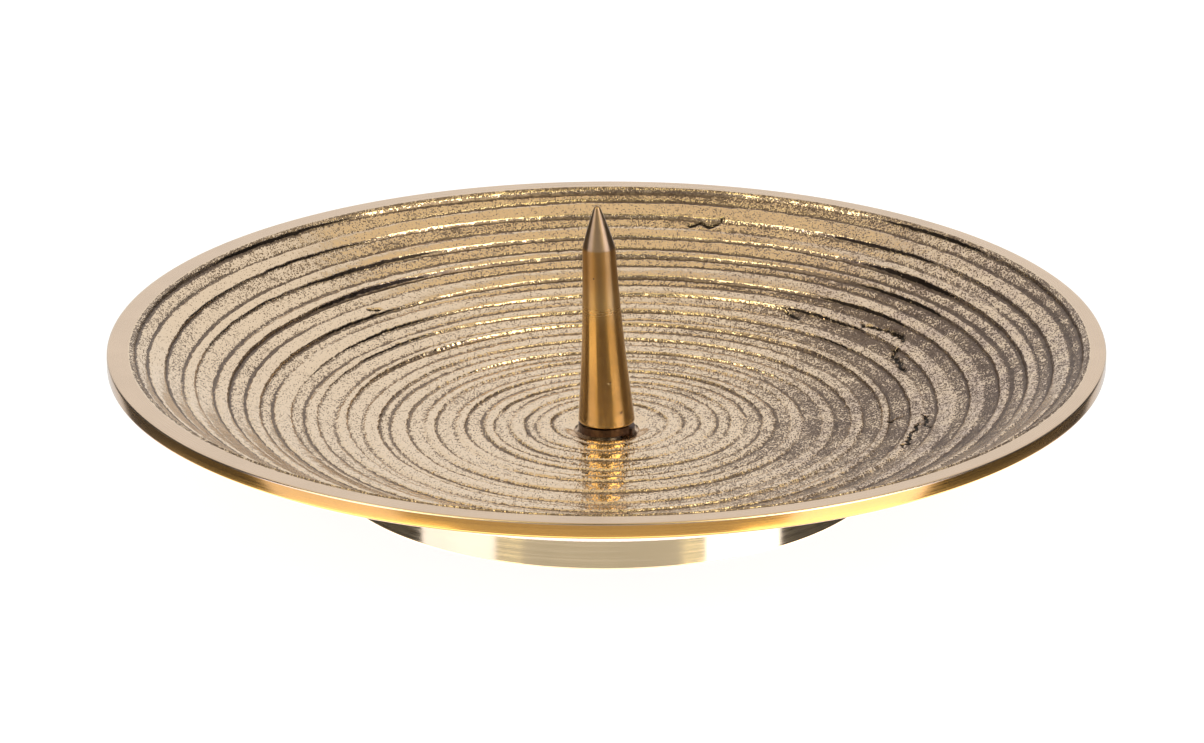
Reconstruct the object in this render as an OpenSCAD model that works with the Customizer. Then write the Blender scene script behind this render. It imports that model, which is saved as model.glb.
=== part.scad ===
// Candle plate with a pricket: a shallow cast brass dish with a ring relief, a turned foot ring under it,
// and a turned spike that a screw from below holds upright on a spring washer.
// Millimetres. The origin is the middle of the foot's resting face, with +Z up.

/* [Dish] */
// Diameter over the rim
plate_d = 160; // [140:1:190]
// Height of the lip above the table
rim_h = 21.8; // [19:0.2:26]
// Height of the dish's floor above the table
floor_h = 7.2; // [7:0.1:9]
// Diameter of the flat floor, where the wall starts to rise
floor_d = 60; // [54:1:70]
// Thickness of the casting
wall_t = 1.8; // [1.6:0.1:2]
// Width of the turned flat lip
lip_w = 3.2; // [2:0.1:5]
// Height of the turned edge band
edge_h = 2.6; // [2.2:0.1:3.4]

/* [Ring relief] */
// Number of cast grooves between the seat and the lip
ring_count = 29; // [20:1:32]
// Depth of a groove
ring_depth = 0.35; // [0.15:0.05:0.45]

/* [Spike seat] */
// Diameter of the flat spot face under the spring washer
seat_d = 10.4; // [9.8:0.1:12]
// Depth of the spot face below the floor
seat_depth = 1.3; // [0.6:0.1:1.4]
// Diameter of the cast boss under the seat
boss_d = 18; // [14:1:24]
// Height of the boss below the dish's underside
boss_h = 1.2; // [1:0.1:1.4]

/* [Foot ring] */
// Outer diameter of the foot ring
foot_d = 89; // [84:1:96]
// Thickness of the foot ring's wall
foot_t = 3.2; // [2.4:0.1:4]

/* [Spike] */
// Length of the spike from its base to its tip
spike_h = 36.6; // [30:0.2:45]
// Diameter of the base
base_d = 9.2; // [8.6:0.1:11]
// Diameter where the point starts
neck_d = 5.3; // [4.6:0.1:6.4]
// Height of the cone that makes the point
point_h = 7; // [5:0.5:10]
// How far the spike leans to the left of its squarely cut base, in degrees
spike_lean = 2.3; // [0:0.1:3]

/* [Fixing] */
// Thread diameter of the fixing screw
thread_d = 5; // [4:0.5:5]
// Length of the screw under its head
screw_l = 10; // [8:1:11]
// Height of the gap between seat and spike that the sprung washer fills
washer_gap = 2; // [1.6:0.1:2.4]

/* [Hidden] */
$fn = 144;

brass_cast = [0.70, 0.56, 0.38];
brass_bright = [0.86, 0.68, 0.38];
brass_foot = [0.88, 0.76, 0.52];
steel_dark = [0.24, 0.17, 0.14];
steel_zinc = [0.60, 0.60, 0.58];

plate_r = plate_d / 2;
relief_r = plate_r - lip_w;
floor_r = floor_d / 2;
under_h = floor_h - wall_t;
boss_r = boss_d / 2;
boss_z = under_h - boss_h;
boss_draft = 0.4;
edge_z = rim_h - edge_h;

// The wall's inner arc starts level at the floor's edge and ends at the lip.
wall_run = relief_r - floor_r;
wall_rise = rim_h - floor_h;
wall_r = (wall_run * wall_run + wall_rise * wall_rise) / (2 * wall_rise);
wall_centre_z = floor_h + wall_r;
outer_r = wall_r + wall_t;
wall_steps = 16;

lip_round = 0.4;
edge_round = 0.5;
corner_steps = 4;

seat_r = seat_d / 2;
seat_z = floor_h - seat_depth;
dimple_r = seat_r + 2.6;
hole_r = thread_d / 2 + 0.25;

// Each groove is cut by a round tool whose centre stands above the surface.
groove_tool_r = 0.9;
groove_lift = groove_tool_r - ring_depth;
first_ring_r = dimple_r + 1.9;
last_ring_r = relief_r - 1.5;
ring_pitch = (last_ring_r - first_ring_r) / (ring_count - 1);
// The spacing is uneven, as the rings of a hand-cut pattern are.
ring_uneven = 0.12;
golden_angle = 137.5;

foot_r = foot_d / 2;
foot_in_r = foot_r - foot_t;
foot_edge = 0.4;
// The ring's top bears on a face turned into the dish, round a spigot that centres it.
register_cut = 0.1;
register_z = under_z(foot_r) + register_cut;

spike_z = seat_z + washer_gap;
base_r = base_d / 2;
neck_r = neck_d / 2;
base_edge = 0.7;
tip_r = 0.35;
flare_sag = 0.26;
tap_depth = 8;
drill_point = 0.3;

washer_s = 1.2;
washer_in_r = thread_d / 2 + 0.1;
washer_out_r = 4.55;
washer_gap_deg = 12;
washer_end_deg = 323;
washer_steps = 40;
washer_flat = 0.12;

head_r = 4.75;
head_h = 3;
head_round = 1.6;
slot_w = 1.2;
slot_depth = 1.2;
screw_edge = 0.6;

// Height of the dish's upper surface, and of its underside, at a radius
function upper_z(r) = r <= floor_r ? floor_h
    : wall_centre_z - sqrt(wall_r * wall_r - pow(r - floor_r, 2));
function under_z(r) = r <= floor_r ? under_h
    : wall_centre_z - sqrt(outer_r * outer_r - pow(r - floor_r, 2));

// Radius of groove i, and of the ridge between it and the next one
function ring_r(i) = first_ring_r + ring_pitch * (i + ring_uneven * sin(golden_angle * i));
function ridge_r(i) = (ring_r(i) + ring_r(i + 1)) / 2;

// Points of an arc about (x, z), both ends included
function arc(x, z, r, from, to, steps) =
    [for (i = [0:steps]) let (a = from + (to - from) * i / steps) [x + r * cos(a), z + r * sin(a)]];

// The upper side: spot face, dimple, one point on each ridge and the lip
function upper_points() = concat(
    [[hole_r, seat_z], [seat_r, seat_z], [dimple_r, floor_h]],
    [for (i = [0:ring_count - 2]) [ridge_r(i), upper_z(ridge_r(i))]],
    [[relief_r, rim_h]],
    arc(plate_r - lip_round, rim_h - lip_round, lip_round, 90, 0, corner_steps));

// The underside, from the edge band inwards, with the foot ring's register cut into it
edge_in_r = floor_r + sqrt(outer_r * outer_r - pow(wall_centre_z - edge_z, 2));
function under_points() = concat(
    arc(plate_r - edge_round, edge_z + edge_round, edge_round, 0, -90, corner_steps),
    [for (i = [0:wall_steps - 1]) let (r = edge_in_r + (foot_r - edge_in_r) * i / wall_steps) [r, under_z(r)]],
    [[foot_r, under_z(foot_r)], [foot_r, register_z], [foot_in_r, register_z], [foot_in_r, under_z(foot_in_r)]],
    [for (i = [1:corner_steps]) let (r = foot_in_r + (floor_r - foot_in_r) * i / corner_steps) [r, under_z(r)]],
    [[boss_r + boss_draft, under_h], [boss_r, boss_z], [hole_r, boss_z]]);

module dish() {
    color(brass_cast) rotate_extrude() difference() {
        polygon(concat(upper_points(), under_points()));
        for (i = [0:ring_count - 1])
            translate([ring_r(i), upper_z(ring_r(i)) + groove_lift]) circle(r = groove_tool_r, $fn = 32);
    }
}

module foot_ring() {
    color(brass_foot) rotate_extrude() polygon([
        [foot_in_r + foot_edge, 0], [foot_r - foot_edge, 0], [foot_r, foot_edge],
        [foot_r, register_z], [foot_in_r, register_z], [foot_in_r, foot_edge]]);
}

// The flank is one long hollow arc from the base to the start of the point.
flank_h = spike_h - point_h - base_edge;
flank_chord = sqrt(flank_h * flank_h + pow(base_r - neck_r, 2));
flank_r = flank_chord * flank_chord / (8 * flare_sag) + flare_sag / 2;
flank_tilt = atan((base_r - neck_r) / flank_h);
flank_mid = [(base_r + neck_r) / 2, base_edge + flank_h / 2];
flank_off = flank_r - flare_sag;
flank_centre = [flank_mid[0] + flank_off * cos(flank_tilt), flank_mid[1] + flank_off * sin(flank_tilt)];
flank_half = asin(flank_chord / 2 / flank_r);
flank_steps = 12;

function flank_points() = arc(flank_centre[0], flank_centre[1], flank_r,
    180 + flank_tilt + flank_half, 180 + flank_tilt - flank_half, flank_steps);

// The turned body about its own axis, run on below the base to be cut square there
module spike_body() {
    rotate_extrude() polygon(concat(
        [[0, -1], [base_r, -1]],
        flank_points(),
        arc(0, spike_h - tip_r, tip_r, atan(neck_r / point_h), 90, 3)));
}

// The upright envelope that squares and chamfers the base
module base_cut() {
    reach = base_r + spike_h * tan(spike_lean) + 2;
    rotate_extrude() polygon([
        [0, 0], [base_r - base_edge, 0], [base_r + 1, 1 + base_edge], [reach, 1 + base_edge],
        [reach, spike_h + 1], [0, spike_h + 1]]);
}

module spike() {
    color(brass_bright) translate([0, 0, spike_z]) difference() {
        intersection() {
            rotate([0, -spike_lean, 0]) spike_body();
            base_cut();
        }
        translate([0, 0, -1]) cylinder(d = thread_d, h = tap_depth + 1);
        translate([0, 0, tap_depth - 0.01]) cylinder(d1 = thread_d, d2 = drill_point, h = 1.4);
    }
}

// Split ring with a rectangular section. It lies flat at its low end and climbs to its high end.
washer_turn = 360 - washer_gap_deg;
function washer_share(i) = min(1, max(0, (i / washer_steps - washer_flat) / (1 - 2 * washer_flat)));
function washer_lift(i) = (washer_gap - washer_s) * washer_share(i);
function washer_section(i) =
    let (a = washer_end_deg - washer_turn + washer_turn * i / washer_steps)
    [for (p = [[washer_in_r, 0], [washer_out_r, 0], [washer_out_r, washer_s], [washer_in_r, washer_s]])
        [p[0] * cos(a), p[0] * sin(a), seat_z + washer_lift(i) + p[1]]];

module lock_washer() {
    rings = [for (i = [0:washer_steps]) washer_section(i)];
    points = [for (ring = rings) for (p = ring) p];
    last = 4 * washer_steps;
    sides = [for (i = [0:washer_steps - 1]) for (k = [0:3])
        let (a = 4 * i + k, b = 4 * i + (k + 1) % 4) [a, b, b + 4, a + 4]];
    color(steel_dark) polyhedron(points,
        concat([[3, 2, 1, 0]], sides, [[last, last + 1, last + 2, last + 3]]), convexity = 4);
}

// Slotted pan-head screw, driven from below
module fixing_screw() {
    head_z = boss_z - head_h;
    color(steel_zinc) difference() {
        rotate_extrude() polygon(concat(
            [[0, head_z]],
            arc(head_r - head_round, head_z + head_round, head_round, 270, 360, corner_steps),
            [[head_r, boss_z], [thread_d / 2, boss_z], [thread_d / 2, boss_z + screw_l - screw_edge],
             [thread_d / 2 - screw_edge, boss_z + screw_l], [0, boss_z + screw_l]]));
        translate([-head_r - 1, -slot_w / 2, head_z - 1]) cube([2 * head_r + 2, slot_w, slot_depth + 1]);
    }
}

dish();
foot_ring();
spike();
lock_washer();
fixing_screw();
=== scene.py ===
"""Candle plate: the looks of a cast and turned brass plate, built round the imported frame.

Metres, +Z up, the camera on the -Y side. Angles round the plate are in degrees from +X towards +Y.
The relief is a dense turned mesh whose rings wander as the photographed ones do, and whose rows of points
follow the rings. Every finish is made of nodes.
"""
import math

import bpy
import numpy as np
from mathutils import Matrix, Vector


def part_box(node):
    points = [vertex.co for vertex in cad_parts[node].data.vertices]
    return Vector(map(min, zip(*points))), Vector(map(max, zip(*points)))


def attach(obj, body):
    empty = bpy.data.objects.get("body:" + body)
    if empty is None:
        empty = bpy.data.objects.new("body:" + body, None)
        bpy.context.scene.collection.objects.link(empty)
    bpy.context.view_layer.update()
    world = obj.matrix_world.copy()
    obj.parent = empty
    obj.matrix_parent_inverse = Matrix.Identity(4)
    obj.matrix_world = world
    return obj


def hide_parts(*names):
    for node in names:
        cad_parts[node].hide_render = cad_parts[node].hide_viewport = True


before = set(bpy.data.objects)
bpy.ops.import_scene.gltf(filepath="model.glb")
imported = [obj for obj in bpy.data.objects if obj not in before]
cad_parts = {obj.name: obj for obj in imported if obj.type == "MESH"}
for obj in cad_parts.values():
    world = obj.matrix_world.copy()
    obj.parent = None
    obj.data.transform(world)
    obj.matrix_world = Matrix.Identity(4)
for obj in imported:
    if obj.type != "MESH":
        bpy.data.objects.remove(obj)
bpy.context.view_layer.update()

MM = 0.001
SEED = 11

# Sizes of the dish in metres, from the frame where it holds them and else as in the construction
dish_low, dish_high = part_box("dish")
PLATE_R = dish_high[0]
RIM_H = dish_high[2]
BOSS_Z = dish_low[2]
FLOOR_H = 7.2 * MM
FLOOR_R = 30 * MM
WALL_T = 1.8 * MM
LIP_W = 3.2 * MM
EDGE_H = 2.6 * MM
LIP_ROUND = 0.4 * MM
EDGE_ROUND = 0.5 * MM
SEAT_R = 5.2 * MM
SEAT_DEPTH = 1.3 * MM
HOLE_R = 2.75 * MM
BOSS_R = 9 * MM
UNDER_H = FLOOR_H - WALL_T
# The underside is turned bright outside this radius.
UNDER_TURNED_R = 62 * MM
RELIEF_R = PLATE_R - LIP_W
WALL_R = ((RELIEF_R - FLOOR_R) ** 2 + (RIM_H - FLOOR_H) ** 2) / (2 * (RIM_H - FLOOR_H))
WALL_CENTRE_Z = FLOOR_H + WALL_R

# The photograph's frame and where the rim's middle lies in it, in its own pixels
PHOTO_W = 1204
PHOTO_H = 743
RIM_PX = (606.5, 339.5)
CAMERA_DISTANCE = 1.0
CAMERA_ELEVATION = 20.01
CAMERA_ROLL = 0.14
FOCAL_PX = 6232
SENSOR_MM = 36
NEAREST_SEEN = 0.01
FARTHEST_SEEN = 50


def make_camera():
    """A long lens at the photograph's angle, aimed so that the rim's middle falls on RIM_PX."""
    data = bpy.data.cameras.new("camera")
    data.sensor_width = SENSOR_MM
    data.lens = FOCAL_PX / PHOTO_W * SENSOR_MM
    data.clip_start = NEAREST_SEEN
    data.clip_end = FARTHEST_SEEN
    cam = bpy.data.objects.new("camera", data)
    bpy.context.scene.collection.objects.link(cam)
    e = math.radians(CAMERA_ELEVATION)
    back = Vector((0, -math.cos(e), math.sin(e)))
    up = Vector((0, math.sin(e), math.cos(e)))
    metres_per_px = CAMERA_DISTANCE / FOCAL_PX
    rim = Vector((0, 0, RIM_H))
    right_px = PHOTO_W / 2 - RIM_PX[0]
    down_px = PHOTO_H / 2 - RIM_PX[1]
    aim = rim + Vector((1, 0, 0)) * right_px * metres_per_px - up * down_px * metres_per_px
    cam.location = rim + back * CAMERA_DISTANCE
    turn = (aim - cam.location).to_track_quat("-Z", "Y")
    roll = Matrix.Rotation(math.radians(-CAMERA_ROLL), 3, "Z")
    cam.rotation_mode = "QUATERNION"
    cam.rotation_quaternion = (turn.to_matrix() @ roll).to_quaternion()
    bpy.context.scene.camera = cam


make_camera()


# Noise and profiles, as arrays

def smooth_step(low, high, x):
    t = np.clip((x - low) / (high - low), 0, 1)
    return t * t * (3 - 2 * t)


def bump_at(x, middle, half):
    """1 at the middle, falling smoothly to 0 a little past the half width."""
    return np.exp(-((x - middle) / half) ** 2)


def turn_from(theta, degrees):
    """Signed angle in degrees from a place round the plate."""
    return (np.degrees(theta) - degrees + 180) % 360 - 180


rng = np.random.default_rng(SEED)


def ring_noise(theta, r, round_cells, cell_r):
    """Smooth noise from -1 to 1 over the plate: round_cells cells in a turn, one each cell_r outwards."""
    rows = int(PLATE_R / cell_r) + 4
    grid = rng.uniform(-1, 1, (rows, round_cells))
    a = (theta / (2 * math.pi) * round_cells) % round_cells
    b = np.clip(r, 0, PLATE_R) / cell_r
    a0 = np.floor(a).astype(int)
    b0 = np.floor(b).astype(int)
    fa = smooth_step(0, 1, a - a0)
    fb = smooth_step(0, 1, b - b0)
    a0 %= round_cells
    a1 = (a0 + 1) % round_cells
    low = grid[b0, a0] * (1 - fa) + grid[b0, a1] * fa
    high = grid[b0 + 1, a0] * (1 - fa) + grid[b0 + 1, a1] * fa
    return low * (1 - fb) + high * fb


def turn_noise(theta, round_cells):
    """Smooth noise from -1 to 1 round one ring."""
    return ring_noise(theta, np.zeros_like(theta), round_cells, PLATE_R)


def upper_z(r):
    """Height of the dish's inner surface without its relief."""
    run = np.clip(r - FLOOR_R, 0, None)
    return WALL_CENTRE_Z - np.sqrt(WALL_R ** 2 - run ** 2)


def under_z(r):
    """Height of the dish's underside."""
    run = np.clip(r - FLOOR_R, 0, None)
    return WALL_CENTRE_Z - np.sqrt((WALL_R + WALL_T) ** 2 - run ** 2)


# The ring relief: smooth raised ribs and low speckled bands take turns, with a dark groove between them.

ROUND_STEPS = 1080
RINGS = 29
FIRST_RING_R = 9.7 * MM
LAST_RING_R = 76.2 * MM
RING_PITCH = (LAST_RING_R - FIRST_RING_R) / (RINGS - 1)
RING_UNEVEN = 0.12
RIB_NARROWER = 0.18
GOLDEN_ANGLE = math.radians(137.5)
LEAST_GAP = 0.5 * MM
SEAT_GAP = 0.02 * MM
# Shares of the way from one ring to the next at which a row of points lies
ROW_SHARES = (0, 0.03, 0.06, 0.09, 0.12, 0.155, 0.2, 0.26, 0.34, 0.44, 0.54, 0.64, 0.73, 0.8, 0.85, 0.885,
              0.915, 0.945, 0.972)
ROWS_EACH = len(ROW_SHARES)

# From here on, a pair of radii is where something starts and where it is complete. Waves round a ring are
# given as cells in a turn and reach, and waves over the plate as cells in a turn, a cell's length and reach.

# The photographed rings lie off the plate's middle, most of all half way out.
WANDER_X = 1.2 * MM
WANDER_Y = 0.7 * MM
WANDER_TWICE = 0.35 * MM
WANDER_GROWS = (2 * MM, 20 * MM)
WANDER_FADES = (58 * MM, 76 * MM)
OWN_WANDER = ((5, 0.30 * MM), (11, 0.20 * MM), (27, 0.06 * MM))
# The relief's end against the lip lies off the middle too. Rows further in do so less, by a power of r.
RELIEF_OFF_X = 0.5 * MM
OFF_POWER = 4
# All edges of ribs and grooves are ragged, more on the floor than on the wall.
RAGGED = ((260, 1.2 * MM, 0.08 * MM), (720, 0.6 * MM, 0.08 * MM))
RAGGED_FLOOR = 1.5
RAGGED_WALL_LOSS = 0.5
# Between these radii the floor's kind of relief turns into the wall's.
WALL_RELIEF = (40 * MM, 62 * MM)

# Ribs rise less near the middle, and their inner and outer flanks have widths of their own.
RIB_RISE = 0.26 * MM
RISE_GROWS = (12 * MM, 45 * MM)
RISE_INSIDE = 0.5
RISE_WAVES = ((9, 0.45), (31, 0.2))
RISE_WIDTH = 0.26 * MM
RISE_WIDTH_WAVES = ((15, 0.3),)
FALL_WIDTH = 0.60 * MM
FALL_WIDTH_WAVES = ((15, 0.4),)
# A rib's top falls outwards by this share of its rise, and bulges by its crown.
TILT = 0.40
TILT_WAVES = ((7, 0.35),)
MOST_TILT = 0.85
CROWN = 0.075 * MM

# A groove fades and deepens along its way. The higher its power, the squarer its section is, and its middle
# lies outside its rib's edge by a share of its half width.
GROOVE_DEPTH = 0.14 * MM
GROOVE_STRENGTH = 0.85
LEAST_STRENGTH = 0.35
GROOVE_WAVES = ((8, 0.45), (26, 0.20))
GROOVE_POWER = 2.4
GROOVE_SHIFT = 0.25
GROOVE_HALF = 0.23 * MM
# Shares of that half width: on the floor, lost on the wall, and gained where the patina stays
GROOVE_FLOOR = 1.35
GROOVE_WALL_LOSS = 0.23
GROOVE_TONE_GAIN = 0.40
GROOVE_UNEVEN = 0.25
GROOVE_TONE_UNEVEN = 0.4
GROOVE_CELLS = 9
# Pores spread from each groove over this width.
FRINGE_WIDTH = 0.36 * MM
FRINGE_WAVES = ((12, 0.6),)

# Places round the plate where the ribs' inner edges open into long hollow facets, with their half widths. The
# facets are painted black there, which is painted shade.
LENS_PLACES = ((134, 13), (43, 10))
# Each rib's facet strays from its place by up to this many degrees.
LENS_STRAY = 7
LENS_LEAST = 0.6
LENS_GROWS = (36 * MM, 52 * MM)
LENS_RISE = 0.9
LENS_WIDTH = 0.6
# How strongly a facet is painted black, as painted shade
FACET_SHADE_GAIN = 2.2

# Casting scars: radius in mm, angle, length in degrees, rise in mm along it, depth and width in mm
SCARS = (
    (56.0, 35, 12, -1.5, 0.55, 0.45),
    (52.5, 24, 12, 3.0, 0.45, 0.40),
    (56.5, 31, 6, 0.5, 0.40, 0.35),
    (53.0, 54, 5, 1.2, 0.40, 0.35),
    (70.5, 76, 6, -1.0, 0.30, 0.40),
    (50.0, 346, 16, 1.5, 0.40, 0.30),
    (51.5, 353, 9, -1.0, 0.35, 0.30),
    (46.0, 357, 4, 3.0, 0.35, 0.25),
    (57.0, 133, 3, 1.0, 0.30, 0.30),
)
# A scar's way is jagged. It fades and narrows from one share of its half length to the other.
SCAR_WAVES = ((220, 0.55 * MM), (600, 0.30 * MM))
SCAR_ENDS = (0.6, 1.0)
SCAR_END_WIDTH = 0.6
SCAR_FILL = 1.8


def waves_round(turn, waves):
    """Sum of noises round one ring, each given as its cells in a turn and its reach."""
    return sum(reach * turn_noise(turn, cells) for cells, reach in waves)


def waves_over(theta, r, waves):
    """Sum of noises over the plate, each given as its cells in a turn, a cell's length and its reach."""
    return sum(reach * ring_noise(theta, r, cells, cell_r) for cells, cell_r, reach in waves)


def ring_radius(i):
    """Radius of ring i before it wanders. Ribs are narrower than bands, as their flanks add to them."""
    return FIRST_RING_R + RING_PITCH * (i + RING_UNEVEN * math.sin(GOLDEN_ANGLE * i) - RIB_NARROWER * (i % 2))


def common_wander(r, theta):
    """How far the rings near radius r lie outside a true circle, the same for neighbours."""
    shape = WANDER_X * np.cos(theta) + WANDER_Y * np.sin(theta) + WANDER_TWICE * np.sin(2 * theta)
    return shape * smooth_step(*WANDER_GROWS, r) * (1 - smooth_step(*WANDER_FADES, r))


def ring_line(i, theta):
    """Radius of ring i all the way round."""
    middle = ring_radius(i)
    return middle + common_wander(middle, theta) + waves_round(theta, OWN_WANDER)


def relief_rows(theta):
    """Radii of all rows of points round the relief, from the seat to the lip, and the ring lines."""
    lines = [ring_line(i, theta) for i in range(RINGS)]
    inner = np.full_like(theta, SEAT_R + SEAT_GAP)
    outer = np.full_like(theta, RELIEF_R)
    stops = [inner] + lines + [outer]
    for k in range(1, len(stops)):
        stops[k] = np.maximum(stops[k], stops[k - 1] + LEAST_GAP)
    for k in range(len(stops) - 2, 0, -1):
        stops[k] = np.minimum(stops[k], stops[k + 1] - LEAST_GAP)
    rows = []
    for low, high in zip(stops, stops[1:]):
        rows += [low + (high - low) * share for share in ROW_SHARES]
    rows.append(outer)
    return np.array(rows), stops[1:-1]


# The tone, from 0 to 1: a little everywhere, much on the right, and some on the wall, most at its far side
TONE_LEAST = 0.03
TONE_RIGHT = 0.61
TONE_RIGHT_PLACE = 352
TONE_RIGHT_POWER = 2.4
TONE_GROWS = (8 * MM, 40 * MM)
TONE_OUTER_LOSS = 0.28
TONE_OUTER = (60 * MM, 70 * MM)
TONE_WALL = 0.14
TONE_WALL_GROWS = (38 * MM, 62 * MM)
TONE_FAR = 0.09
TONE_FAR_PLACE = 62
TONE_FAR_HALF = 30
TONE_WAVES = ((10, 14 * MM, 0.09), (38, 5 * MM, 0.07))


def make_tone(theta, r):
    """How strongly the patina stays: most on the right, least at the lower left."""
    right = 0.5 + 0.5 * np.cos(theta - math.radians(TONE_RIGHT_PLACE))
    right = right ** TONE_RIGHT_POWER * smooth_step(*TONE_GROWS, r)
    right = right * (1 - TONE_OUTER_LOSS * smooth_step(*TONE_OUTER, r))
    far = bump_at(turn_from(theta, TONE_FAR_PLACE), 0, TONE_FAR_HALF)
    on_wall = (TONE_WALL + TONE_FAR * far) * smooth_step(*TONE_WALL_GROWS, r)
    tone = TONE_LEAST + TONE_RIGHT * right + on_wall + waves_over(theta, r, TONE_WAVES)
    return np.clip(tone, 0, 1)


def lens_share(turn, middle):
    """How far a rib's edge at this radius opens into a facet, round the plate."""
    share = np.zeros_like(turn)
    for place, half in LENS_PLACES:
        own_place = place + LENS_STRAY * rng.uniform(-1, 1)
        strength = rng.uniform(LENS_LEAST, 1.0) * float(smooth_step(*LENS_GROWS, middle))
        share = np.maximum(share, strength * bump_at(turn_from(turn, own_place), 0, half))
    return share


def ramp(t):
    """0 to 1, nearly straight, with its two corners a little rounded."""
    return 0.5 * (np.clip(t, 0, 1) + smooth_step(0, 1, t))


def groove_half(turn, tone, wall):
    """Half width of a groove. It is broader and less even where the patina stays."""
    share = GROOVE_FLOOR - GROOVE_WALL_LOSS * wall + GROOVE_TONE_GAIN * tone
    share = share + (GROOVE_UNEVEN + GROOVE_TONE_UNEVEN * tone) * turn_noise(turn, GROOVE_CELLS)
    return share * GROOVE_HALF


def make_ribs(turn, moved, lines, tone, wall):
    """Height of ribs and grooves, and how much of a rib, groove, fringe and facet each point lies in. A
    facet's share is painted shade, and it goes into the grooves' share too.
    """
    height, ribs, grooves, fringes, facets = np.zeros((5,) + moved.shape)
    for i in range(0, RINGS, 2):
        # The rows of this rib and of the bands on both sides of it
        rows = slice(i * ROWS_EACH, (i + 3) * ROWS_EACH)
        x = moved[rows]
        inner = lines[i]
        outer = lines[i + 1] if i + 1 < RINGS else np.full_like(turn, RELIEF_R + FALL_WIDTH)
        lens = lens_share(turn, ring_radius(i))
        grown = RISE_INSIDE + (1 - RISE_INSIDE) * float(smooth_step(*RISE_GROWS, ring_radius(i)))
        rise = RIB_RISE * grown * (1 + waves_round(turn, RISE_WAVES)) * (1 + LENS_RISE * lens)
        rise_width = RISE_WIDTH * (1 + LENS_WIDTH * lens + waves_round(turn, RISE_WIDTH_WAVES))
        fall_width = FALL_WIDTH * (1 + waves_round(turn, FALL_WIDTH_WAVES))
        tilt = np.clip(TILT + waves_round(turn, TILT_WAVES), 0, MOST_TILT)
        share = np.clip((x - inner) / (outer - inner), 0, 1)
        up = ramp((x - inner + rise_width) / rise_width)
        on_rib = up * (1 - ramp((x - outer + fall_width / 2) / fall_width))
        crown = CROWN * 4 * share * (1 - share)
        height[rows] += (rise * (1 - tilt * share) + crown) * on_rib
        ribs[rows] += on_rib
        for place, side in ((inner - rise_width, -1), (outer + fall_width / 2, 1)):
            strength = np.clip(GROOVE_STRENGTH + waves_round(turn, GROOVE_WAVES), LEAST_STRENGTH, 1.0)
            half = groove_half(turn, tone[rows], wall[rows])
            off = (x - place) * side - GROOVE_SHIFT * half
            groove = strength * np.exp(-np.abs(off / half) ** GROOVE_POWER)
            height[rows] -= GROOVE_DEPTH * groove
            grooves[rows] = np.maximum(grooves[rows], groove)
            fringe_width = FRINGE_WIDTH * (1 + waves_round(turn, FRINGE_WAVES))
            fringe = strength * np.exp(-np.clip(off, 0, None) / fringe_width) * (off > -half)
            fringes[rows] = np.maximum(fringes[rows], fringe)
        facet = np.clip(FACET_SHADE_GAIN * lens * up * (1 - up) * 4, 0, 1)
        facets[rows] = np.maximum(facets[rows], facet)
        # A facet is painted as dark as a groove, which is painted shade.
        grooves[rows] = np.maximum(grooves[rows], facet)
    return height, ribs, grooves, fringes, facets


# How thickly pores lie, as a share: everywhere, in bands, in patches, along grooves, in them, and by the lip.
# In the grooves' share, the facets' black pores are painted shade.
COVER = 0.275
# Fewer pores on the left paint that side lighter, which is painted light.
COVER_LEFT_LOSS = 0.11
COVER_WALL_LOSS = 0.07
COVER_TONE_GAIN = 0.28
BAND_COVER = 0.05
BAND_WALL_GAIN = 0.085
BAND_TONE_GAIN = 0.20
BAND_WAVES = ((9, 4.5 * MM, 0.8),)
PATCHES = ((44, 1.7 * MM, 0.08),)
PATCHES_LEAST = 0.4
FRINGE_COVER = 0.80
FRINGE_LEAST = 0.8
FRINGE_TONE_GAIN = 0.4
GROOVE_COVER = 0.92
GROOVE_WALL_COVER = 0.30
CORNER_COVER = 0.62
CORNER = (RELIEF_R - 2.4 * MM, RELIEF_R - 0.2 * MM)


def make_cover(theta, r, moved, tone, wall, ribs, grooves, fringes):
    """How thickly the dark pores lie: the most that any of their places asks for."""
    bands = 1 - np.clip(ribs, 0, 1)
    band_share = 1 + waves_over(theta, r, BAND_WAVES)
    # The left side is painted lighter with fewer pores, which is painted light.
    left = 0.5 - 0.5 * np.cos(theta)
    cover = COVER - COVER_LEFT_LOSS * left - COVER_WALL_LOSS * wall + COVER_TONE_GAIN * tone
    cover = cover + bands * (BAND_COVER + BAND_WALL_GAIN * wall + BAND_TONE_GAIN * tone) * band_share
    cover = cover + waves_over(theta, r, PATCHES) * (PATCHES_LEAST + tone)
    cover = np.maximum(cover, FRINGE_COVER * fringes * (FRINGE_LEAST + FRINGE_TONE_GAIN * tone))
    # Pores lie thickly in the relief's corner against the lip, which is darker there.
    cover = np.maximum(cover, CORNER_COVER * smooth_step(*CORNER, moved))
    return np.maximum(cover, (GROOVE_COVER + GROOVE_WALL_COVER * wall) * grooves)


def cut_scars(turn, moved, height):
    """Cuts the scars into the height and returns how full of patina each point is for them."""
    scar = np.zeros_like(moved)
    for radius, place, length, rise, depth, width in SCARS:
        along = turn_from(turn, place) / (length / 2)
        path = (radius + rise / 2 * along) * MM + waves_round(turn, SCAR_WAVES)
        inside = 1 - smooth_step(*SCAR_ENDS, np.abs(along))
        half = width * MM * (SCAR_END_WIDTH + (1 - SCAR_END_WIDTH) * inside)
        cut = bump_at(moved, path, half) * inside
        scar = np.maximum(scar, cut)
        height -= depth * MM * cut
    return np.clip(SCAR_FILL * scar, 0, 1)


# The floor is smooth enough to mirror the spike.
TEXTURE = ((70, 3.0 * MM, 0.030 * MM), (300, 1.0 * MM, 0.016 * MM), (540, 0.45 * MM, 0.010 * MM))
FLOOR_TEXTURE = 0.35

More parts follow.
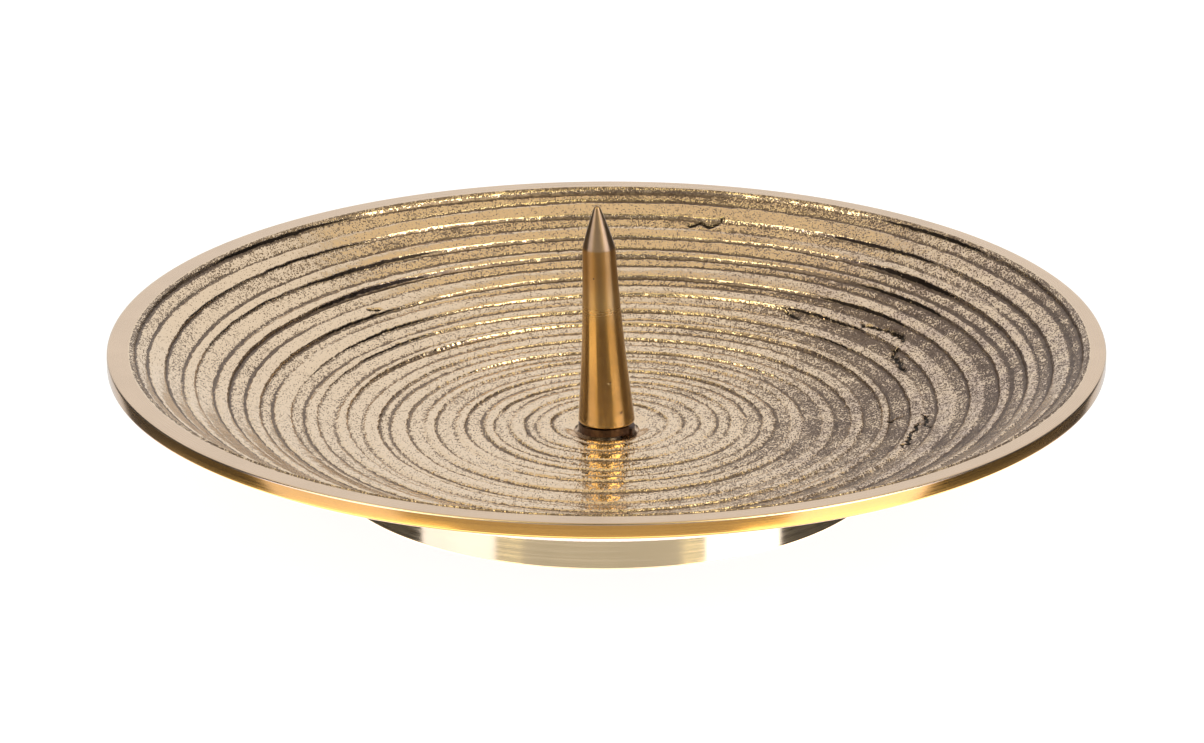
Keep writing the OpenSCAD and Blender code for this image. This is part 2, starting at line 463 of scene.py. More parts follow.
# How dark the patina is: everywhere, with the tone, and in the grooves. Above 1 it turns black. The scars are
# pushed above 1, and so are the facets, where the black is painted shade.
DARK = 0.20
GROOVE_DARK = 0.10
GROOVE_WALL_DARK = 0.35
DARK_BLACK = 2


def make_relief(turn, r, lines, tone):
    """Height over the plain surface, how thickly the dark pores lie, and how dark the patina in them is. On
    the facets the black pores are painted shade.
    """
    theta = np.broadcast_to(turn, r.shape)
    wall = smooth_step(*WALL_RELIEF, r)
    moved = r + waves_over(theta, r, RAGGED) * (RAGGED_FLOOR - RAGGED_WALL_LOSS * wall)
    height, ribs, grooves, fringes, facets = make_ribs(turn, moved, lines, tone, wall)
    cover = make_cover(theta, r, moved, tone, wall, ribs, grooves, fringes)
    scar = cut_scars(turn, moved, height)
    height += (FLOOR_TEXTURE + (1 - FLOOR_TEXTURE) * wall) * waves_over(theta, r, TEXTURE)
    dark = np.clip(DARK + tone + (GROOVE_DARK + GROOVE_WALL_DARK * wall) * grooves, 0, 1)
    # Scars turn black. The facets are painted black too, as painted shade.
    dark = np.maximum(dark, DARK_BLACK * np.maximum(scar, facets))
    return height, np.maximum(cover, scar), dark


# The dish: its relief, and the turned section round it

# Where the relief starts beside the seat and ends against the lip, and where the floor dips to the seat
SEAT_FADE = (SEAT_R, SEAT_R + 2.5 * MM)
LIP_FADE = (RELIEF_R - 0.35 * MM, RELIEF_R - 0.05 * MM)
DIMPLE = (SEAT_R - 1.5 * MM, SEAT_R + 2.6 * MM)
LIP_IN = 0.25 * MM
LIP_ROWS = 8
LIP_ROUND_STEPS = 6
EDGE_ROUND_STEPS = 8
UNDER_ROWS = 90
UNDER_END = 0.8 * MM
BOSS_DRAFT = 0.4 * MM
BOSS_SIDE_OUT = 0.12 * MM
CORNER_CUT = 0.2 * MM
SMALL_CUT = 0.1 * MM


def arc_points(x, z, radius, start, end, steps):
    """Points of an arc in a section, in degrees, both ends included."""
    turn = np.radians(np.linspace(start, end, steps + 1))
    return [(x + radius * math.cos(t), z + radius * math.sin(t)) for t in turn]


def dish_section():
    """The section outside the relief: lip, edge band, underside, boss, hole and seat, as (r, z, finish)."""
    edge_z = RIM_H - EDGE_H
    seat_z = FLOOR_H - SEAT_DEPTH
    lip = [(r, RIM_H, "lip") for r in np.linspace(RELIEF_R + LIP_IN, PLATE_R - LIP_ROUND, LIP_ROWS)[:-1]]
    top = arc_points(PLATE_R - LIP_ROUND, RIM_H - LIP_ROUND, LIP_ROUND, 90, 0, LIP_ROUND_STEPS)
    low = arc_points(PLATE_R - EDGE_ROUND, edge_z + EDGE_ROUND, EDGE_ROUND, 0, -90, EDGE_ROUND_STEPS)
    # The last points of the lip's rounding belong to the edge band.
    rounding = len(top) - 2
    lip += [(r, z, "lip") for r, z in top[:rounding]]
    edge = [(r, z, "edge") for r, z in top[rounding:] + low]
    edge_in = FLOOR_R + math.sqrt((WALL_R + WALL_T) ** 2 - (WALL_CENTRE_Z - edge_z) ** 2)
    under = [(r, float(under_z(r)), "lip" if r > UNDER_TURNED_R else "under")
             for r in np.linspace(edge_in, BOSS_R + UNDER_END, UNDER_ROWS)]
    boss = [(BOSS_R + BOSS_DRAFT, UNDER_H), (BOSS_R + BOSS_SIDE_OUT, BOSS_Z + CORNER_CUT),
            (BOSS_R - SMALL_CUT, BOSS_Z), (HOLE_R + CORNER_CUT, BOSS_Z),
            (HOLE_R, BOSS_Z + CORNER_CUT), (HOLE_R, seat_z - SMALL_CUT)]
    under += [(r, z, "under") for r, z in boss]
    seat = [(HOLE_R + SMALL_CUT, seat_z, "lip"), (SEAT_R - SMALL_CUT, seat_z, "lip")]
    return lip + edge + under + seat


def build_dish():
    """One closed mesh: relief rows, then the turned section, back to the seat."""
    turn = np.linspace(0, 2 * math.pi, ROUND_STEPS, endpoint=False)
    rho, lines = relief_rows(turn)
    theta = np.broadcast_to(turn, rho.shape)
    tone = make_tone(theta, rho)
    height, cover, dark = make_relief(turn, rho, lines, tone)
    # The relief sinks to the seat in the middle and ends against the lip.
    fade = smooth_step(*SEAT_FADE, rho)
    cover = cover * fade
    fade = fade * (1 - smooth_step(*LIP_FADE, rho))
    dimple = SEAT_DEPTH * (1 - smooth_step(*DIMPLE, rho))
    rows_z = [upper_z(rho) - dimple + height * fade]
    rows_r = [rho + RELIEF_OFF_X * np.cos(theta) * (rho / RELIEF_R) ** OFF_POWER]
    finishes = ["relief"] * len(rho)
    section = dish_section()
    for r_value, z_value, finish in section:
        # The lip's inner edge goes with the relief, and its outer edge is true.
        lip_share = max(0.0, (PLATE_R - LIP_ROUND - r_value) / (LIP_W - LIP_ROUND))
        on_lip = finish == "lip" and r_value > RELIEF_R and z_value == RIM_H
        off = RELIEF_OFF_X * np.cos(turn) * lip_share if on_lip else np.zeros(ROUND_STEPS)
        rows_r.append((r_value + off)[None, :])
        rows_z.append(np.full((1, ROUND_STEPS), z_value))
        finishes.append(finish)
    r = np.vstack(rows_r)
    z = np.vstack(rows_z)
    points = np.stack([r * np.cos(turn), r * np.sin(turn), z], -1)
    plain = np.zeros((len(section), ROUND_STEPS))
    values = {"cover": cover, "dark": dark, "tone": tone}
    layers = {key: np.vstack([value, plain]).ravel() for key, value in values.items()}
    return ring_mesh("dish_body", points, finishes, layers)


FINISH_SLOTS = ["relief", "lip", "edge", "under"]


def ring_mesh(name, points, finishes=None, layers=None):
    """A closed surface of rows of points that go round, the last row joined to the first."""
    rows, n = points.shape[:2]
    row = np.arange(rows)[:, None]
    col = np.arange(n)[None, :]
    a = row * n + col
    b = row * n + (col + 1) % n
    c = ((row + 1) % rows) * n + (col + 1) % n
    d = ((row + 1) % rows) * n + col
    quads = np.stack([a, d, c, b], -1).reshape(-1, 4)
    mesh = bpy.data.meshes.new(name)
    mesh.vertices.add(rows * n)
    mesh.vertices.foreach_set("co", points.astype(np.float32).ravel())
    mesh.loops.add(quads.size)
    mesh.loops.foreach_set("vertex_index", quads.astype(np.int32).ravel())
    mesh.polygons.add(len(quads))
    mesh.polygons.foreach_set("loop_start", np.arange(0, quads.size, 4, dtype=np.int32))
    mesh.polygons.foreach_set("loop_total", np.full(len(quads), 4, dtype=np.int32))
    if finishes:
        slots = np.array([FINISH_SLOTS.index(f) for f in finishes], dtype=np.int32)
        mesh.polygons.foreach_set("material_index", np.repeat(slots, n))
    mesh.polygons.foreach_set("use_smooth", np.ones(len(quads), dtype=bool))
    for key, values in (layers or {}).items():
        layer = mesh.attributes.new(key, "FLOAT", "POINT")
        layer.data.foreach_set("value", values.astype(np.float32))
    mesh.update(calc_edges=True)
    mesh.validate()
    piece = bpy.data.objects.new(name, mesh)
    bpy.context.scene.collection.objects.link(piece)
    return piece


# The spike and the foot ring, turned finer than the frame's own meshes

LATHE_STEPS = 256
SPIKE_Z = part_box("spike")[0][2]
SPIKE_H = 36.6 * MM
SPIKE_BASE_R = 4.6 * MM
SPIKE_NECK_R = 2.65 * MM
SPIKE_POINT_H = 7 * MM
SPIKE_LEAN = 2.3
SPIKE_TIP_R = 0.36 * MM
POINT_BULGE = 0.12 * MM
BASE_EDGE = 0.5 * MM
FLANK_SAG = 0.26 * MM
THREAD_R = 2.5 * MM
BORE_DEPTH = 0.5 * MM
# The rows of points stand closest near the base and near the tip. These heights are along the spike's axis.
BELOW_BASE = 0.4 * MM
NEAR_BASE = 1.2 * MM
FLANK_START = 1.6 * MM
FLANK_GAP = 0.05 * MM
BASE_ROWS = 17
FLANK_ROWS = 50
POINT_ROWS = 30
# The point's first row lies just inside it: this share of its height from the tip.
POINT_SHARE = 0.999
foot_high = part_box("foot_ring")[1]
FOOT_R = foot_high[0]
FOOT_TOP = foot_high[2]
FOOT_T = 3.2 * MM
FOOT_IN_R = FOOT_R - FOOT_T
FOOT_ROUND = 0.25 * MM
FOOT_ROUND_STEPS = 6
# Shares of the way down the outer side. The last one keeps the shading of the rounding off the flat side.
FOOT_ROW_SHARES = (0, 0.25, 0.5, 0.75, 0.99)


def spike_radius(h):
    """Radius of the turned spike at a height along its own axis: a hollow flank, then the cone."""
    point_start = SPIKE_H - SPIKE_POINT_H
    share = np.clip(h / point_start, 0, 1)
    flank = SPIKE_BASE_R + (SPIKE_NECK_R - SPIKE_BASE_R) * share - FLANK_SAG * 4 * share * (1 - share)
    down = np.clip((SPIKE_H - h) / SPIKE_POINT_H, 0, 1)
    cone = SPIKE_TIP_R + (SPIKE_NECK_R - SPIKE_TIP_R) * down + POINT_BULGE * 4 * down * (1 - down)
    in_tip = np.clip((SPIKE_H - h) / SPIKE_TIP_R, 0, 1)
    return np.where(h < point_start, flank, cone * np.sqrt(1 - (1 - in_tip) ** 2))


def build_spike():
    """The leaning turned body, cut square at its base with a rounded edge, and closed round the thread."""
    turn = np.linspace(0, 2 * math.pi, LATHE_STEPS, endpoint=False)
    lean = math.radians(SPIKE_LEAN)
    base_rows = np.linspace(-BELOW_BASE, NEAR_BASE, BASE_ROWS)
    flank_rows = np.linspace(FLANK_START, SPIKE_H - SPIKE_POINT_H - FLANK_GAP, FLANK_ROWS)
    point_rows = SPIKE_H - SPIKE_POINT_H * np.linspace(1, 0, POINT_ROWS) ** 2 * POINT_SHARE
    heights = np.concatenate([base_rows, flank_rows, point_rows])
    rows = []
    for h in heights:
        radius = spike_radius(np.array(h))
        upright_x = radius * np.cos(turn)
        x = upright_x * math.cos(lean) - h * math.sin(lean)
        y = radius * np.sin(turn)
        z = upright_x * math.sin(lean) + h * math.cos(lean)
        rows.append(np.stack([x, y, z], -1))
    body = np.array(rows)
    # Below the rounded edge's top, each point is drawn in so that the base is flat and its edge is round.
    z = body[..., 2]
    level = np.clip(z, 0, BASE_EDGE)
    inward = BASE_EDGE - np.sqrt(BASE_EDGE ** 2 - (BASE_EDGE - level) ** 2)
    across = np.hypot(body[..., 0], body[..., 1])
    scale = (across - inward) / across
    body[..., 0] *= scale
    body[..., 1] *= scale
    body[..., 2] = np.clip(z, 0, None)
    bore = [np.stack([THREAD_R * np.cos(turn), THREAD_R * np.sin(turn), np.full_like(turn, height)], -1)
            for height in (BORE_DEPTH, 0)]
    bore_end = np.zeros((1, LATHE_STEPS, 3))
    bore_end[..., 2] = BORE_DEPTH
    points = np.concatenate([bore_end, bore, body])
    points[..., 2] += SPIKE_Z
    return ring_mesh("spike_turned", points)


def build_foot_ring():
    """The turned ring under the dish, with softened edges where it stands."""
    turn = np.linspace(0, 2 * math.pi, 2 * LATHE_STEPS, endpoint=False)
    section = [(FOOT_R, FOOT_TOP - (FOOT_TOP - FOOT_ROUND) * share) for share in FOOT_ROW_SHARES]
    section += arc_points(FOOT_R - FOOT_ROUND, FOOT_ROUND, FOOT_ROUND, 0, -90, FOOT_ROUND_STEPS)
    section += arc_points(FOOT_IN_R + FOOT_ROUND, FOOT_ROUND, FOOT_ROUND, -90, -180, FOOT_ROUND_STEPS)
    section += [(FOOT_IN_R, FOOT_TOP)]
    rows = [np.stack([r * np.cos(turn), r * np.sin(turn), np.full_like(turn, z)], -1) for r, z in section]
    return ring_mesh("foot_ring_turned", np.array(rows[::-1])[:, ::-1])


# Node trees

class Nodes:
    """Short calls for the nodes that the finishes and the studio are made of."""

    def __init__(self, tree):
        self.tree = tree

    def put(self, socket, value):
        if isinstance(value, bpy.types.NodeSocket):
            self.tree.links.new(value, socket)
        else:
            socket.default_value = value

    def node(self, kind, **inputs):
        made = self.tree.nodes.new(kind)
        for key, value in inputs.items():
            self.put(made.inputs[key.replace("_", " ")], value)
        return made

    def math(self, operation, a, b=0.0, c=0.0):
        made = self.tree.nodes.new("ShaderNodeMath")
        made.operation = operation
        for socket, value in zip(made.inputs, (a, b, c)):
            self.put(socket, value)
        return made.outputs[0]

    def add(self, a, b):
        return self.math("ADD", a, b)

    def times(self, a, b):
        return self.math("MULTIPLY", a, b)

    def most(self, a, b):
        return self.math("MAXIMUM", a, b)

    def line(self, value, at_zero, gain):
        """A value on a straight line: at_zero where the value is 0, and gain more where it is 1."""
        return self.add(at_zero, self.times(value, gain))

    def inverse(self, value):
        return self.math("SUBTRACT", 1.0, value)

    def spread(self, value, low, high, new_low=0.0, new_high=1.0):
        """A value carried from one range to another, smoothly and within it."""
        made = self.tree.nodes.new("ShaderNodeMapRange")
        made.interpolation_type = "SMOOTHSTEP"
        for socket, v in zip(made.inputs, (value, low, high, new_low, new_high)):
            self.put(socket, v)
        return made.outputs[0]

    def mix(self, share, a, b):
        made = self.tree.nodes.new("ShaderNodeMix")
        made.data_type = "RGBA"
        self.put(made.inputs[0], share)
        self.put(made.inputs[6], a)
        self.put(made.inputs[7], b)
        return made.outputs[2]

    def noise(self, vector, scale, detail=2.0, roughness=0.5):
        made = self.node("ShaderNodeTexNoise", Vector=vector, Scale=scale, Detail=detail, Roughness=roughness)
        return made.outputs["Fac"]


class Finish(Nodes):
    """A material with one Principled shader."""

    def __init__(self, name):
        self.material = bpy.data.materials.new(name)
        self.material.use_nodes = True
        super().__init__(self.material.node_tree)
        self.shader = self.tree.nodes["Principled BSDF"]
        self.place = self.tree.nodes.new("ShaderNodeTexCoord").outputs["Object"]

    def polar(self, round_scale, r_scale, z_scale):
        """Coordinates round, outwards from and along the plate's axis, for marks left by turning."""
        x, y, z = self.node("ShaderNodeSeparateXYZ", Vector=self.place).outputs
        turn = self.math("ARCTAN2", y, x)
        r = self.math("SQRT", self.add(self.times(x, x), self.times(y, y)))
        return self.node("ShaderNodeCombineXYZ", X=self.times(turn, round_scale), Y=self.times(r, r_scale),
                         Z=self.times(z, z_scale)).outputs[0]

    def attribute(self, name):
        made = self.tree.nodes.new("ShaderNodeAttribute")
        made.attribute_name = name
        return made.outputs["Fac"]

    def bump(self, height, distance, strength=1.0, under=None):
        made = self.node("ShaderNodeBump", Height=height, Distance=distance, Strength=strength)
        if under is not None:
            self.put(made.inputs["Normal"], under)
        return made.outputs[0]

    def set(self, **values):
        for key, value in values.items():
            self.put(self.shader.inputs[key.replace("_", " ")], value)

    def turned(self, amount):
        """Spreads highlights across the lathe's marks, which run round the plate's axis: a quarter turn."""
        tangent = self.tree.nodes.new("ShaderNodeTangent")
        tangent.direction_type = "RADIAL"
        tangent.axis = "Z"
        self.set(Anisotropic=amount, Anisotropic_Rotation=0.25, Tangent=tangent.outputs[0])


LIP_BRASS = (0.74, 0.56, 0.40, 1)
EDGE_BRASS = (0.72, 0.365, 0.075, 1)
RIDGE_BRASS = (0.82, 0.635, 0.44, 1)
DULL_BRASS = (0.62, 0.47, 0.37, 1)
PATINA_LIGHT = (0.165, 0.108, 0.070, 1)
PATINA_DARK = (0.100, 0.070, 0.060, 1)
# Black of the patina in the scars, and of the painted shade on the facets
PATINA_AND_SHADE_BLACK = (0.025, 0.018, 0.014, 1)
SPIKE_BRASS = (0.49, 0.335, 0.16, 1)
UNWORN_BRASS = (0.36, 0.20, 0.07, 1)
POINT_BRASS = (0.34, 0.225, 0.13, 1)
FOOT_BRASS = (0.98, 0.765, 0.47, 1)
UNDER_BRASS = (0.66, 0.47, 0.30, 1)
UNDER_DARK = (0.36, 0.23, 0.12, 1)
WASHER_STEEL = (0.10, 0.06, 0.045, 1)
SCREW_STEEL = (0.45, 0.45, 0.44, 1)

# Noise scales are cells in a metre. Nearly all values of a noise lie in its range.
NOISE_RANGE = (0.3, 0.7)
GRAIN_SCALE = 1300
GRAIN_RANGE = (0.34, 0.66)
GRAIN_DEPTH = 0.015 * MM
PATCH_SCALE = 260
PATCH_RANGE = (0.35, 0.65)
# Pores have fewer cells along Y.
PORE_SCALE = 4200
PORE_Y_SHARE = 0.6
PORE_SOFT = 0.12
PORE_DEPTH = 0.03 * MM
# Brass dulls between two values of tone, and patina turns black between two values of dark.
DULL_RANGE = (0.15, 0.9)
BLACK_RANGE = (1.1, 1.7)
# Shares of a cell's own chance, the distance from its middle, these two together, and the coarse grain
CHANCE_SHARE = 0.35
DISTANCE_SHARE = 0.80
FINE_SHARE = 0.85
COARSE_SHARE = 0.15
# Straight lines, each as its value at 0 and its gain
COVER_BY_PATCH = (0.86, 0.28)
LEVEL_BY_COVER = (0.22, 0.70)
DULL_BY_PATCH = (0.25, 0.75)
FILL_BY_GRAIN = (0.84, 0.14)
ROUGH_BY_PORE = (0.09, 0.30)
TONE_ROUGHER = 0.16

# Marks of turning: how many lie in a radian, in a metre outwards and in a metre along the plate's axis
LIP_MARKS = (1.5, 7000, 0)
EDGE_MARKS = (1.5, 0, 7000)
FOOT_MARKS = (1.5, 0, 6500)
UNDER_MARKS = (1.5, 2600, 0)
SPIKE_MARKS = (2.0, 900, 5200)
SPIKE_STREAKS = (9.0, 0, 60)


def at_level(colour, level):
    """A colour made darker or brighter by a factor."""
    return tuple(level * c for c in colour[:3]) + (1,)


def relief_finish():
    """Bright ribs and dull bands of brass, dotted with pores that hold dark patina. The black pores on the
    facets are painted shade.
    """
    f = Finish("cast_brass_relief")
    cover = f.attribute("cover")
    dark = f.attribute("dark")
    tone = f.attribute("tone")
    # Each cell of the pattern has its own chance, and fills from its middle as the cover grows past that.
    grid = f.node("ShaderNodeMapping", Vector=f.place, Scale=(1, PORE_Y_SHARE, 1)).outputs[0]
    cell = f.node("ShaderNodeTexVoronoi", Vector=grid, Scale=PORE_SCALE)
    chance = f.node("ShaderNodeSeparateColor", Color=cell.outputs["Color"]).outputs[0]
    fine = f.add(f.times(chance, CHANCE_SHARE), f.times(cell.outputs["Distance"], DISTANCE_SHARE))
    coarse = f.spread(f.noise(f.place, GRAIN_SCALE, roughness=0.6), *GRAIN_RANGE)
    patch = f.spread(f.noise(f.place, PATCH_SCALE, detail=3.0, roughness=0.55), *PATCH_RANGE)
    grain = f.add(f.times(fine, FINE_SHARE), f.times(coarse, COARSE_SHARE))
    level = f.line(f.times(cover, f.line(patch, *COVER_BY_PATCH)), *LEVEL_BY_COVER)
    pore = f.spread(f.math("SUBTRACT", level, grain), -PORE_SOFT, PORE_SOFT)
    black = f.spread(dark, *BLACK_RANGE)
    # The pores hold patina. On the facets it turns black, which is painted shade.
    patina = f.mix(black, f.mix(dark, PATINA_LIGHT, PATINA_DARK), PATINA_AND_SHADE_BLACK)
    dull = f.times(f.line(patch, *DULL_BY_PATCH), f.spread(tone, *DULL_RANGE))
    brass = f.mix(dull, RIDGE_BRASS, DULL_BRASS)
    filled = f.most(f.line(coarse, *FILL_BY_GRAIN), black)
    colour = f.mix(f.times(pore, filled), brass, patina)
    rough = f.add(f.line(pore, *ROUGH_BY_PORE), f.times(tone, TONE_ROUGHER))
    normal = f.bump(f.inverse(pore), PORE_DEPTH, strength=0.7)
    normal = f.bump(coarse, GRAIN_DEPTH, strength=0.5, under=normal)
    f.set(Base_Color=colour, Metallic=1.0, Roughness=rough, Normal=normal)
    return f.material


TURNED_PATCH_SCALE = 90
LACQUER_ROUGHNESS = 0.12
LACQUER_IOR = 1.6


def turned_finish(name, colour, marks, roughness, depth, anisotropy, lacquer=0.0):
    """Brass with the fine grooves of a lathe tool round it, under a film of clear lacquer or none."""
    f = Finish(name)
    cut = f.noise(f.polar(*marks), 1.0, detail=3.0, roughness=0.6)
    broad = f.noise(f.place, TURNED_PATCH_SCALE, detail=3.0)
    shade = f.mix(f.spread(broad, *NOISE_RANGE), colour, at_level(colour, 0.93))
    rough = f.spread(cut, *NOISE_RANGE, roughness - 0.05, roughness + 0.06)
    f.set(Base_Color=shade, Metallic=1.0, Roughness=rough, Normal=f.bump(cut, depth, strength=0.6))
    f.set(Coat_Weight=lacquer, Coat_Roughness=LACQUER_ROUGHNESS, Coat_IOR=LACQUER_IOR)
    f.turned(anisotropy)
    return f.material


# Heights on the spike, counted from the start of its point
POINT_Z = SPIKE_Z + SPIKE_H - SPIKE_POINT_H
POINT_SOFT = 0.2 * MM
UNWORN_RANGE = (POINT_Z - 8 * MM, POINT_Z - 1 * MM)
UNWORN_UNEVEN = 4 * MM
UNWORN_MOST = 0.75
MATT_RANGE = (POINT_Z - 14 * MM, POINT_Z - 8 * MM)
POLISHED = 0.13
MATT = 0.32
SPIKE_MARK_DEPTH = 0.01 * MM
SPIKE_PATCH_SCALE = 300
PIT_SCALE = 900
PIT_RANGE = (0.70, 0.74)
PIT_DEPTH = 0.1 * MM


def spike_finish():
    """Golden turned flank, polished below and unworn near the point, a greyer point and a few cast pits."""
    f = Finish("spike_brass")
    marks = f.noise(f.polar(*SPIKE_MARKS), 1.0, detail=3.0, roughness=0.6)
    streaks = f.noise(f.polar(*SPIKE_STREAKS), 1.0)
    broad = f.noise(f.place, SPIKE_PATCH_SCALE)
    pit = f.spread(f.noise(f.place, PIT_SCALE, roughness=0.6), *PIT_RANGE)
    height = f.node("ShaderNodeSeparateXYZ", Vector=f.place).outputs[2]
    on_point = f.spread(height, POINT_Z - POINT_SOFT, POINT_Z + POINT_SOFT)
    unworn = f.spread(f.add(height, f.times(broad, UNWORN_UNEVEN)), *UNWORN_RANGE, 0.0, UNWORN_MOST)
    colour = f.mix(unworn, SPIKE_BRASS, UNWORN_BRASS)
    colour = f.mix(on_point, colour, POINT_BRASS)
    colour = f.mix(pit, colour, PATINA_DARK)
    normal = f.bump(f.add(marks, f.times(streaks, 0.7)), SPIKE_MARK_DEPTH, strength=0.6)
    normal = f.bump(f.inverse(pit), PIT_DEPTH, strength=0.8, under=normal)
    worn = f.spread(height, *MATT_RANGE, POLISHED, MATT)
    rough = f.add(worn, f.spread(marks, *NOISE_RANGE, -0.03, 0.05))
    f.set(Base_Color=colour, Metallic=1.0, Roughness=rough, Normal=normal)
    f.turned(0.5)
    return f.material


WEAR_DEPTH = 0.04 * MM
STAIN_SCALE = 60


def steel_finish(name, colour, roughness, scale):
    """Steel with patches of wear, which are darker."""
    f = Finish(name)
    wear = f.noise(f.place, scale, detail=4.0, roughness=0.6)
    shade = f.mix(f.spread(wear, 0.4, 0.7), colour, at_level(colour, 0.6))
    rough = f.spread(wear, *NOISE_RANGE, roughness - 0.08, roughness + 0.1)
    f.set(Base_Color=shade, Metallic=1.0, Roughness=rough, Normal=f.bump(wear, WEAR_DEPTH, strength=0.5))
    return f.material


def under_finish():
    """Cast brass with coarse turning marks and large darker stains."""
    f = Finish("cast_brass_under")
    marks = f.noise(f.polar(*UNDER_MARKS), 1.0, detail=3.0, roughness=0.6)
    grain = f.noise(f.place, GRAIN_SCALE, detail=3.0, roughness=0.6)
    stain = f.spread(f.noise(f.place, STAIN_SCALE, detail=4.0, roughness=0.6), 0.4, 0.75)
    colour = f.mix(f.times(stain, 0.5), UNDER_BRASS, UNDER_DARK)
    normal = f.bump(f.add(marks, f.times(grain, 0.6)), WEAR_DEPTH, strength=0.5)
    rough = f.spread(grain, *NOISE_RANGE, 0.28, 0.42)
    f.set(Base_Color=colour, Metallic=1.0, Roughness=rough, Normal=normal)
    return f.material


# The object

dish = build_dish()
lip_finish = turned_finish("turned_brass_lip", LIP_BRASS, marks=LIP_MARKS, roughness=0.24,
                           depth=0.015 * MM, anisotropy=0.3)
edge_finish = turned_finish("turned_brass_edge", EDGE_BRASS, marks=EDGE_MARKS, roughness=0.18,
                            depth=0.01 * MM, anisotropy=0.5, lacquer=0.8)
for material in (relief_finish(), lip_finish, edge_finish, under_finish()):
    dish.data.materials.append(material)
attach(dish, "root")
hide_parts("dish")


def refinish(node, material):
    """Gives a CAD node's own object one material."""
    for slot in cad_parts[node].material_slots:
        slot.link = "OBJECT"
        slot.material = material


def stand_in(piece, node, material):
    """Puts a finer mesh in a CAD node's place."""
    piece.data.materials.append(material)
    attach(piece, "root")
    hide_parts(node)


foot_finish = turned_finish("turned_brass_foot", FOOT_BRASS, marks=FOOT_MARKS, roughness=0.11,
                            depth=0.006 * MM, anisotropy=0.6)
stand_in(build_foot_ring(), "foot_ring", foot_finish)
stand_in(build_spike(), "spike", spike_finish())
refinish("lock_washer", steel_finish("dark_washer_steel", WASHER_STEEL, roughness=0.38, scale=1500))
refinish("fixing_screw", steel_finish("zinc_screw_steel", SCREW_STEEL, roughness=0.32, scale=900))


# The studio: white for the camera, and a plain set of soft lights for every other ray

# Each light: azimuth from the camera's side towards the right, half width, lowest and highest elevation,
# soft edge, all in degrees, then its level and colour. Later ones cover earlier ones.
WARM = (1.0, 0.86, 0.62)
GOLDEN = (1.0, 0.90, 0.45)
SUNNY = (1.0, 0.93, 0.62)
PLAIN = (1.0, 1.0, 1.0)
COOL = (0.92, 0.97, 1.25)
STUDIO = (
    ("overhead", 180, 106, 56, 91, 8, 0.84, WARM),
    ("backdrop_high", 180, 66, 30, 48, 8, 0.92, PLAIN),
    ("backdrop", 180, 32, -91, 34, 6, 0.92, PLAIN),
    ("front_high", 0, 34, 24, 58, 4, 0.24, PLAIN),
    ("front", 0, 46, -91, 22, 4, 0.66, PLAIN),
    ("left_top", -41, 21, 56, 76, 3, 1.4, GOLDEN),
    ("right_top", 41, 21, 56, 76, 3, 1.6, GOLDEN),
    ("left_bank", -58, 21, 26, 56, 2, 4.0, SUNNY),
    ("right_bank", 53, 20, 26, 56, 2, 5.8, SUNNY),
    ("left_softbox", -65, 17, -91, 26, 2, 1.7, COOL),
    ("right_softbox", 59, 16.5, -91, 26, 2, 2.9, COOL),
)
BETWEEN = (0.03, 0.03, 0.033, 1)


def studio_world():
    """White for the camera. Every other ray sees the lights of STUDIO."""
    world = bpy.data.worlds.new("studio")
    bpy.context.scene.world = world
    world.use_nodes = True
    tree = world.node_tree
    tree.nodes.clear()
    n = Nodes(tree)
    direction = tree.nodes.new("ShaderNodeTexCoord").outputs["Generated"]
    x, y, z = n.node("ShaderNodeSeparateXYZ", Vector=direction).outputs
    azimuth = n.math("DEGREES", n.math("ARCTAN2", x, n.times(y, -1.0)))
    elevation = n.math("DEGREES", n.math("ARCSINE", z))
    colour = BETWEEN
    for _, middle, half, lowest, highest, soft, level, tint in STUDIO:
        away = n.math("ABSOLUTE", n.math("WRAP", n.math("SUBTRACT", azimuth, middle), 180.0, -180.0))
        across = n.spread(away, half, half + soft, 1.0, 0.0)
        above = n.spread(elevation, lowest - soft, lowest)
        below = n.spread(elevation, highest, highest + soft, 1.0, 0.0)
        share = n.times(across, n.times(above, below))
        colour = n.mix(share, colour, at_level(tint, level))
    room = n.node("ShaderNodeBackground", Color=colour)
    white = n.node("ShaderNodeBackground", Color=(1, 1, 1, 1))
    camera_ray = tree.nodes.new("ShaderNodeLightPath").outputs["Is Camera Ray"]
    mix = n.node("ShaderNodeMixShader")
    n.put(mix.inputs[0], camera_ray)
    n.put(mix.inputs[1], room.outputs[0])
    n.put(mix.inputs[2], white.outputs[0])
    n.put(tree.nodes.new("ShaderNodeOutputWorld").inputs[0], mix.outputs[0])


TABLE_HALF = 3.0
TABLE_GAP = 0.05 * MM
TABLE_WHITE = (0.86, 0.86, 0.86, 1)
TABLE_GLOW = 1.18
SHADOW_SHARE = 0.25
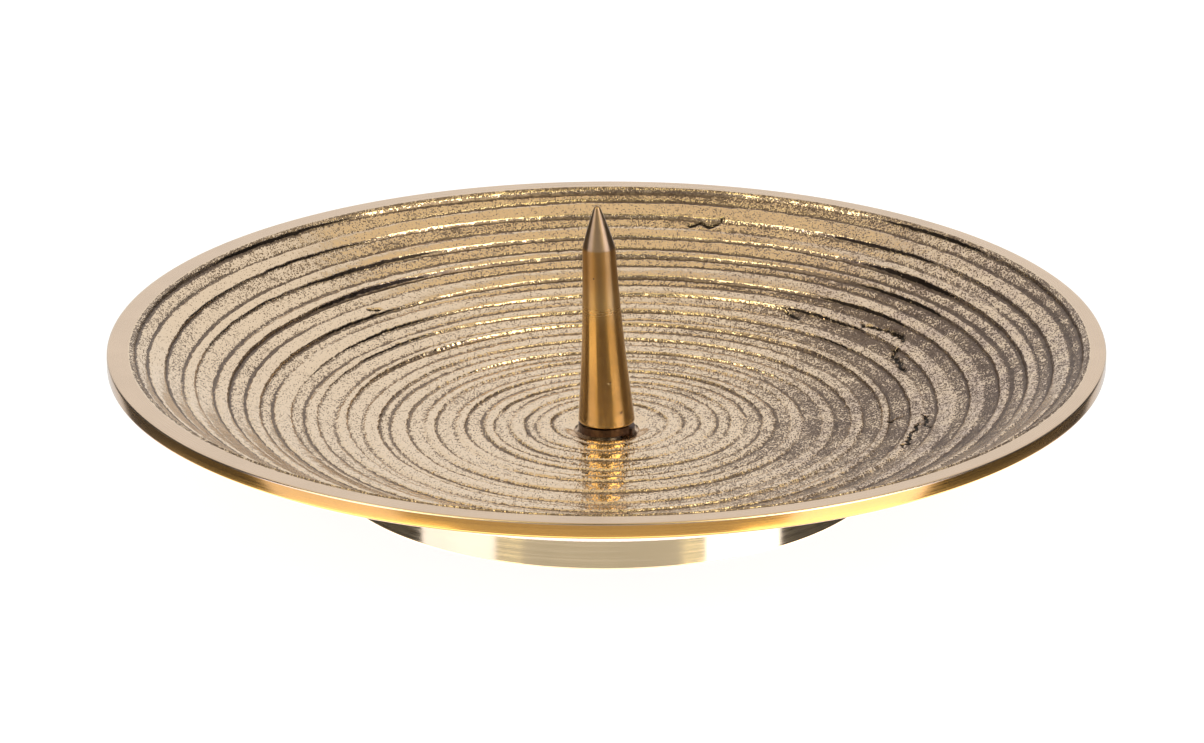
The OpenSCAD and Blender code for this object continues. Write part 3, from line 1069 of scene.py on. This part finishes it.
# For the object, the table mirrors flat rays and shines for steep ones, least for those straight down. Facing
# is 0 for a ray straight down and 1 for a flat one.
LIT_WHITE = (0.90, 1.0, 1.15, 1)
LIT_RANGE = (0.08, 0.32)
LIT_STRAIGHT_DOWN = 0.3
LIT_FROM_BELOW = 2.8
GLOSS_RANGE = (0.30, 0.60)
LEAST_GLOSS = 0.05
MOST_GLOSS = 0.99
GLOSS_ROUGHNESS = 0.03


def table_material():
    """A glossy white table. The camera sees it white, with a faint shadow of the object."""
    material = bpy.data.materials.new("table")
    material.use_nodes = True
    tree = material.node_tree
    tree.nodes.clear()
    n = Nodes(tree)

    def mixed(share, first, second):
        made = n.node("ShaderNodeMixShader")
        for socket, value in zip(made.inputs, (share, first, second)):
            n.put(socket, value)
        return made.outputs[0]

    paint = n.node("ShaderNodeBsdfDiffuse", Color=TABLE_WHITE).outputs[0]
    gloss = n.node("ShaderNodeBsdfGlossy", Roughness=GLOSS_ROUGHNESS).outputs[0]
    facing = n.node("ShaderNodeLayerWeight", Blend=0.5).outputs["Facing"]
    lit = n.spread(facing, *LIT_RANGE, LIT_STRAIGHT_DOWN, LIT_FROM_BELOW)
    below = n.node("ShaderNodeEmission", Color=LIT_WHITE, Strength=lit).outputs[0]
    glow = n.node("ShaderNodeEmission", Strength=TABLE_GLOW).outputs[0]
    steep = n.node("ShaderNodeAddShader")
    n.put(steep.inputs[0], paint)
    n.put(steep.inputs[1], below)
    coated = mixed(n.spread(facing, *GLOSS_RANGE, LEAST_GLOSS, MOST_GLOSS), steep.outputs[0], gloss)
    seen = mixed(SHADOW_SHARE, glow, paint)
    camera_ray = tree.nodes.new("ShaderNodeLightPath").outputs["Is Camera Ray"]
    n.put(tree.nodes.new("ShaderNodeOutputMaterial").inputs[0], mixed(camera_ray, coated, seen))
    return material


def make_table():
    """A flat square just under the foot, which belongs to the stage."""
    corners = [(x * TABLE_HALF, y * TABLE_HALF, 0) for x, y in ((-1, -1), (1, -1), (1, 1), (-1, 1))]
    mesh = bpy.data.meshes.new("table")
    mesh.from_pydata(corners, [], [(0, 1, 2, 3)])
    table = bpy.data.objects.new("table", mesh)
    bpy.context.scene.collection.objects.link(table)
    table.location.z = -TABLE_GAP
    mesh.materials.append(table_material())


studio_world()
make_table()
bpy.context.scene.view_settings.view_transform = "Standard"
